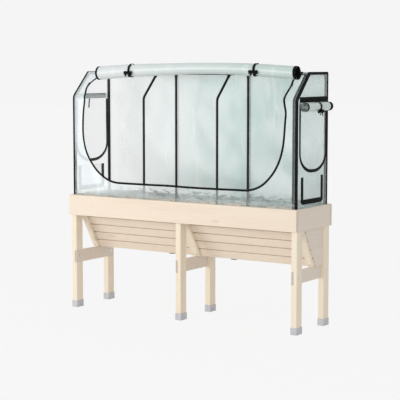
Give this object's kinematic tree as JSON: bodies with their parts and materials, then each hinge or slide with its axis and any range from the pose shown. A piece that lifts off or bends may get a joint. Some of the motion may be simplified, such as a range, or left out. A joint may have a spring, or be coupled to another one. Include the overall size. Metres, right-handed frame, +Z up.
{
  "type": "raised planter with greenhouse cover",
  "caption": "Raised wooden planter with a slatted V-shaped trough on leg frames, under a lift-off clear film greenhouse cover on tube hoops, with a rolled-up front door and end window.",
  "frame": {"origin": "on the floor, under the middle of the whole box. The planter's own middle lies 24 mm to the left of it, because only the right window is rolled up", "axes": "+X along the length to the right end, -Y out of the open front, +Z up"},
  "size_m": [1.8488, 0.47, 1.7028],
  "materials": {
    "planed_timber": "planed, untreated",
    "foot_plastic": "moulded",
    "liner_cloth": "felted",
    "fitting_plastic": "moulded",
    "zinc_steel": "zinc plated",
    "tube_coating": "powder coated",
    "clear_film": "soft clear film",
    "rolled_film": "soft clear film, many layers",
    "insect_mesh": "fine mesh",
    "black_webbing": "woven",
    "zip_metal": "dark nickel"
  },
  "bodies": {
    "planter": {"front_apron_board": "planed_timber", "back_apron_board": "planed_timber", "left_apron_board": "planed_timber", "right_apron_board": "planed_timber", "front_left_leg": "planed_timber", "front_centre_leg": "planed_timber", "front_right_leg": "planed_timber", "back_left_leg": "planed_timber", "back_centre_leg": "planed_timber", "back_right_leg": "planed_timber", "left_cross_rail": "planed_timber", "centre_cross_rail": "planed_timber", "right_cross_rail": "planed_timber", "left_front_slats": "planed_timber", "right_front_slats": "planed_timber", "back_slats": "planed_timber", "left_end_panel": "planed_timber", "right_end_panel": "planed_timber", "floor_boards": "planed_timber", "slat_battens": "planed_timber", "front_ledge_board": "planed_timber", "back_ledge_board": "planed_timber", "foot_caps": "foot_plastic", "trough_liner": "liner_cloth", "drain_outlets": "fitting_plastic", "pole_sockets": "fitting_plastic", "rail_bolts": "zinc_steel", "wood_screws": "zinc_steel"},
    "hoop_frame": {"left_end_bow": "tube_coating", "left_middle_bow": "tube_coating", "right_middle_bow": "tube_coating", "right_end_bow": "tube_coating", "left_end_post": "tube_coating", "left_middle_post": "tube_coating", "right_middle_post": "tube_coating", "right_end_post": "tube_coating", "roof_bars": "tube_coating", "top_rails": "tube_coating", "roof_connectors": "fitting_plastic"},
    "cover": {"cover_roof": "clear_film", "cover_back": "clear_film", "cover_front": "clear_film", "cover_left_end": "clear_film", "cover_right_end": "clear_film", "end_piping": "black_webbing", "front_zip_tape": "black_webbing", "end_webbing": "black_webbing", "mesh_screens": "insect_mesh"},
    "front_roll": {"front_door_roll": "rolled_film", "front_ties": "black_webbing"},
    "left_window": {"left_window_flap": "clear_film", "left_window_tie": "black_webbing"},
    "left_vent": {"left_vent_flap": "clear_film"},
    "left_slider": {"left_zip_slider": "zip_metal"},
    "left_pull": {"left_zip_pull": "zip_metal"},
    "right_window": {"right_window_roll": "rolled_film", "right_window_tie": "black_webbing"},
    "right_vent": {"right_vent_flap": "clear_film"},
    "right_slider": {"right_zip_slider": "zip_metal"},
    "right_pull": {"right_zip_pull": "zip_metal"}
  },
  "joints": [
    {"name": "hoop_frame_lift", "type": "slide", "parent": "planter", "child": "hoop_frame", "axis": [0, 0, 1], "range_m": [0, 0.12]},
    {"name": "cover_lift", "type": "slide", "parent": "hoop_frame", "child": "cover", "axis": [0, 0, 1], "range_m": [0, 0.9]},
    {"name": "front_roll_swing", "type": "hinge", "parent": "cover", "child": "front_roll", "pos_m": [-0.02442, -0.04, 1.64], "axis": [-1, 0, 0], "range_deg": [0, 115]},
    {"name": "left_window_swing", "type": "hinge", "parent": "cover", "child": "left_window", "pos_m": [-0.90712, 0.015, 1.45], "axis": [0, 1, 0], "range_deg": [0, 60]},
    {"name": "left_vent_swing", "type": "hinge", "parent": "cover", "child": "left_vent", "pos_m": [-0.90622, 0.008, 0.985], "axis": [0, 1, 0], "range_deg": [0, 85]},
    {"name": "left_slider_run", "type": "slide", "parent": "cover", "child": "left_slider", "axis": [0, -0.6963, -0.7178], "range_m": [0, 0.07]},
    {"name": "left_pull_swing", "type": "hinge", "parent": "left_slider", "child": "left_pull", "pos_m": [-0.82442, -0.13107, 1.55503], "axis": [-1, 0, 0], "range_deg": [0, 90]},
    {"name": "right_window_swing", "type": "hinge", "parent": "cover", "child": "right_window", "pos_m": [0.85828, 0.015, 1.45], "axis": [0, -1, 0], "range_deg": [0, 60]},
    {"name": "right_vent_swing", "type": "hinge", "parent": "cover", "child": "right_vent", "pos_m": [0.85738, 0.008, 0.985], "axis": [0, -1, 0], "range_deg": [0, 85]},
    {"name": "right_slider_run", "type": "slide", "parent": "cover", "child": "right_slider", "axis": [0, -0.6963, -0.7178], "range_m": [0, 0.07]},
    {"name": "right_pull_swing", "type": "hinge", "parent": "right_slider", "child": "right_pull", "pos_m": [0.77558, -0.13107, 1.55503], "axis": [-1, 0, 0], "range_deg": [0, 90]}
  ]
}
